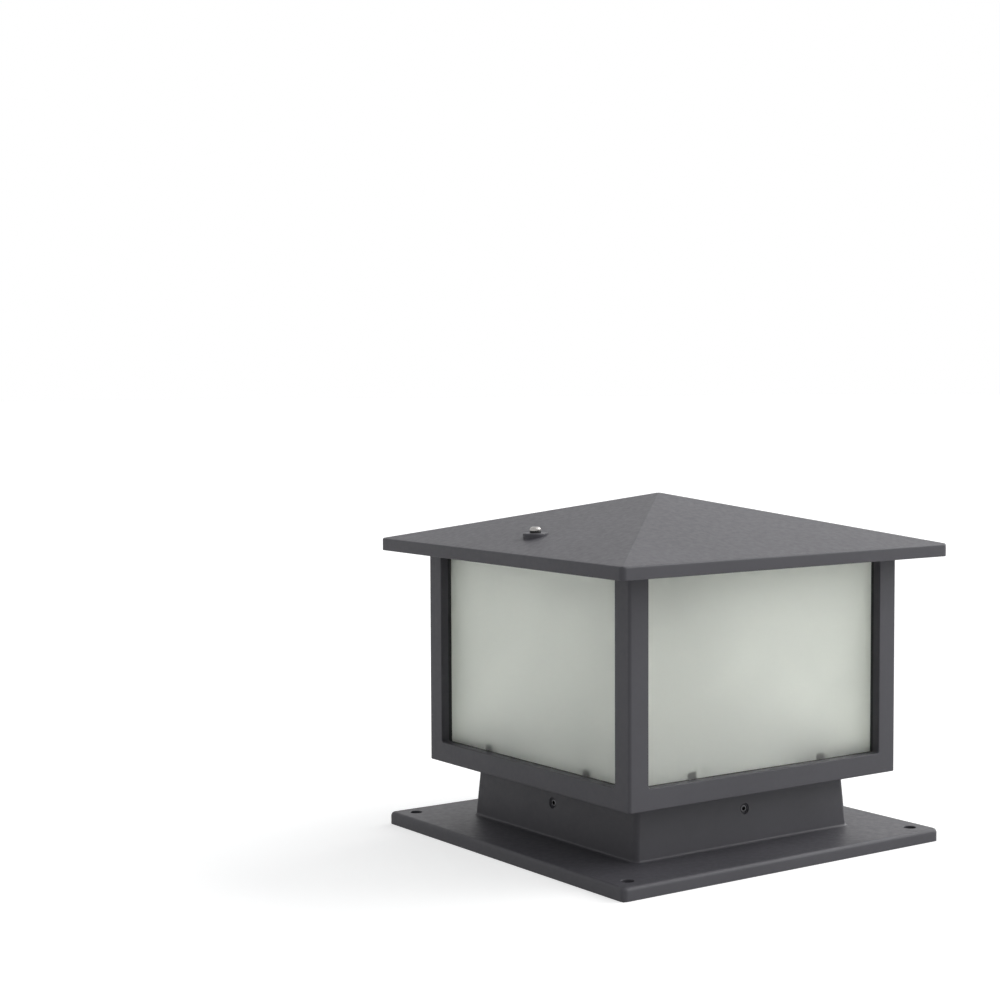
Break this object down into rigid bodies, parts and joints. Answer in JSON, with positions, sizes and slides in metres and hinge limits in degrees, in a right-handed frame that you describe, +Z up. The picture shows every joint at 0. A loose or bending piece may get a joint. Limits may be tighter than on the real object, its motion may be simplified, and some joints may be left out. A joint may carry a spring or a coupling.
{
  "type": "post cap light",
  "caption": "Square cast post cap lantern with frosted panes, a hipped roof and a bolted flange base.",
  "frame": {"origin": "centre of the flange's underside, on the ground plane", "axes": "+Z up, -Y out of the front window, the roof screws on the -X and +X slopes"},
  "size_m": [0.3, 0.3, 0.255],
  "materials": {
    "powder_coat": "anthracite fine-texture powder coat over cast aluminium",
    "frosted_glass": "white glass, etched on its inner face",
    "black_rubber": "matt black rubber",
    "spring_steel": "bright spring steel",
    "stainless": "plain stainless steel",
    "dark_steel": "black-finished steel",
    "zinc_plate": "zinc-plated sheet steel",
    "porcelain": "white glazed porcelain",
    "nickel": "nickel-plated",
    "brass": "plain brass",
    "white_nylon": "natural white nylon",
    "black_nylon": "black nylon",
    "lead_brown": "brown insulation",
    "lead_blue": "blue insulation",
    "lead_green": "green and yellow insulation",
    "opal_plastic": "opal white, satin",
    "white_plastic": "white, satin",
    "black_glass": "black vitreous insulator"
  },
  "bodies": {
    "base": {"base_casting": "powder_coat"},
    "lantern": {"floor_casting": "powder_coat", "top_ring": "powder_coat", "pane_clips": "spring_steel", "pane_clip_screws": "stainless", "roof_gasket": "black_rubber", "gear_tray": "zinc_plate", "tray_screws": "stainless", "holder_bracket": "zinc_plate", "bracket_screws": "stainless", "lamp_holder": "porcelain", "holder_shell": "nickel", "holder_contact": "brass", "holder_screws": "stainless", "terminal_block": "white_nylon", "terminal_sleeves": "brass", "terminal_screws": "stainless", "terminal_fixings": "stainless", "gland_body": "black_nylon", "gland_locknut": "black_nylon", "gland_dome": "black_nylon", "gland_seal": "black_rubber", "lead_live": "lead_brown", "lead_neutral": "lead_blue", "earth_lead": "lead_green", "earth_tag": "brass", "earth_screw": "stainless", "window_frame_front": "powder_coat", "glass_front": "frosted_glass", "pane_seal_front": "black_rubber", "window_frame_right": "powder_coat", "glass_right": "frosted_glass", "pane_seal_right": "black_rubber", "window_frame_back": "powder_coat", "glass_back": "frosted_glass", "pane_seal_back": "black_rubber", "window_frame_left": "powder_coat", "glass_left": "frosted_glass", "pane_seal_left": "black_rubber"},
    "roof": {"roof_panel_front": "powder_coat", "roof_panel_right": "powder_coat", "roof_panel_back": "powder_coat", "roof_panel_left": "powder_coat", "roof_screw_washers": "black_rubber"},
    "roof_screw_left": {"roof_screw_left": "stainless"},
    "roof_screw_right": {"roof_screw_right": "stainless"},
    "bulb": {"bulb_diffuser": "opal_plastic", "bulb_housing": "white_plastic", "bulb_cap": "nickel", "bulb_insulator": "black_glass", "bulb_contact": "brass"},
    "neck_screw_front": {"neck_screw_front": "dark_steel"},
    "neck_screw_right": {"neck_screw_right": "dark_steel"},
    "neck_screw_back": {"neck_screw_back": "dark_steel"},
    "neck_screw_left": {"neck_screw_left": "dark_steel"}
  },
  "joints": [
    {"name": "lantern_lift", "type": "slide", "parent": "base", "child": "lantern", "axis": [0, 0, 1], "range_m": [0, 0.05]},
    {"name": "roof_lift", "type": "slide", "parent": "lantern", "child": "roof", "axis": [0, 0, 1], "range_m": [0, 0.08]},
    {"name": "bulb_turn", "type": "hinge", "parent": "lantern", "child": "bulb", "pos_m": [0, 0, 0.09], "axis": [0, 0, 1], "continuous": true},
    {"name": "roof_screw_left_turn", "type": "hinge", "parent": "roof", "child": "roof_screw_left", "pos_m": [-0.112, 0, 0.23], "axis": [0, 0, 1], "continuous": true},
    {"name": "roof_screw_right_turn", "type": "hinge", "parent": "roof", "child": "roof_screw_right", "pos_m": [0.112, 0, 0.23], "axis": [0, 0, 1], "continuous": true},
    {"name": "neck_screw_front_turn", "type": "hinge", "parent": "base", "child": "neck_screw_front", "pos_m": [0, -0.09669, 0.0345], "axis": [0, -1, 0], "continuous": true},
    {"name": "neck_screw_right_turn", "type": "hinge", "parent": "base", "child": "neck_screw_right", "pos_m": [0.09669, 0, 0.0345], "axis": [1, 0, 0], "continuous": true},
    {"name": "neck_screw_back_turn", "type": "hinge", "parent": "base", "child": "neck_screw_back", "pos_m": [0, 0.09669, 0.0345], "axis": [0, 1, 0], "continuous": true},
    {"name": "neck_screw_left_turn", "type": "hinge", "parent": "base", "child": "neck_screw_left", "pos_m": [-0.09669, 0, 0.0345], "axis": [-1, 0, 0], "continuous": true}
  ]
}
